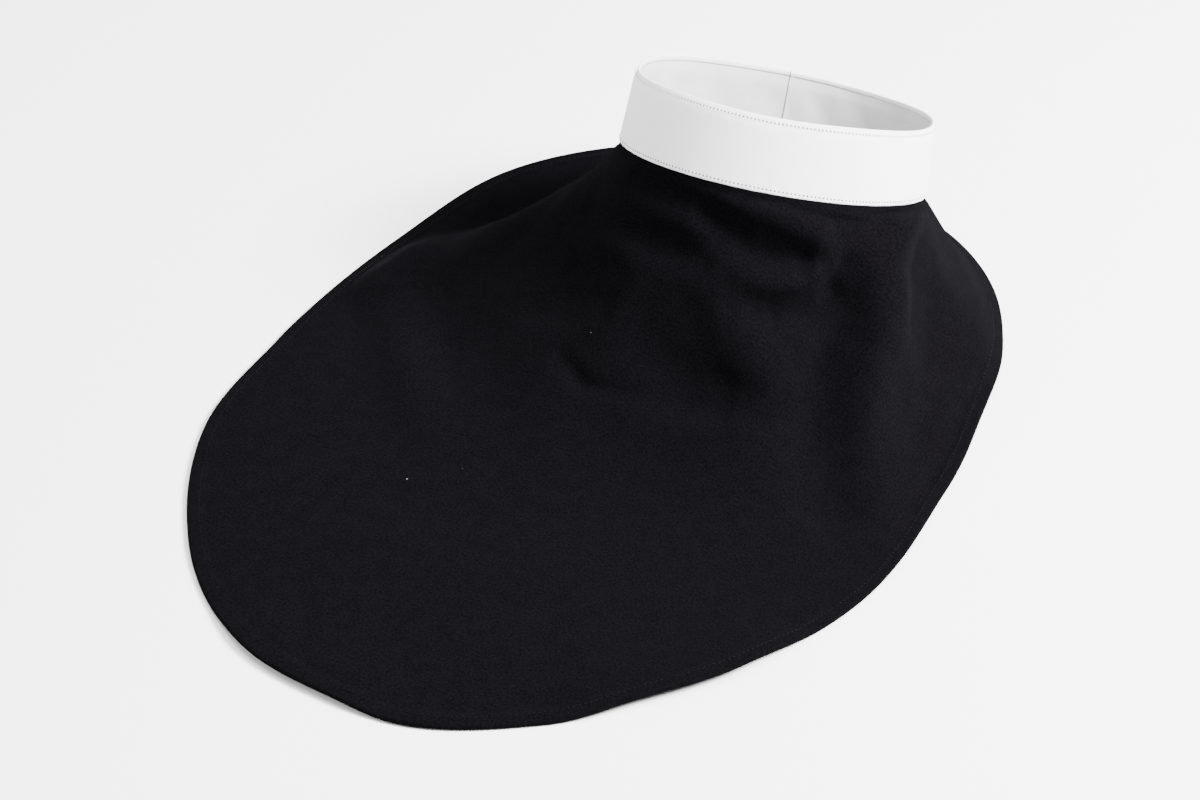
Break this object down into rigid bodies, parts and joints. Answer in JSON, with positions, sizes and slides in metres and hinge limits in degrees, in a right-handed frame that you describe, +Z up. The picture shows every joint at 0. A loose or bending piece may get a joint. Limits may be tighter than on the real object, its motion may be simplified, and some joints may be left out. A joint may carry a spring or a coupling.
{
  "type": "clerical collar with bib",
  "caption": "White stand-up neckband, lapped and fastened at the back, on a black oval cloth bib that lies flat in front; slips on under a jacket or robe.",
  "frame": {"origin": "under the middle of the bib's bounding box, on the table", "axes": "+Z up, -Y to the front of the bib, +X to the right of the drawing seen from the front"},
  "size_m": [0.293, 0.403, 0.1216],
  "materials": {
    "band_white": "matte stiffened cotton",
    "lining_white": "matte cotton",
    "fastener_white": "matte hook and loop tape",
    "bib_black": "matte twill with faint sheen"
  },
  "bodies": {
    "root": {"collar_facing": "band_white", "collar_lining": "lining_white", "back_fastener": "fastener_white", "bib_cloth": "bib_black"}
  },
  "joints": []
}
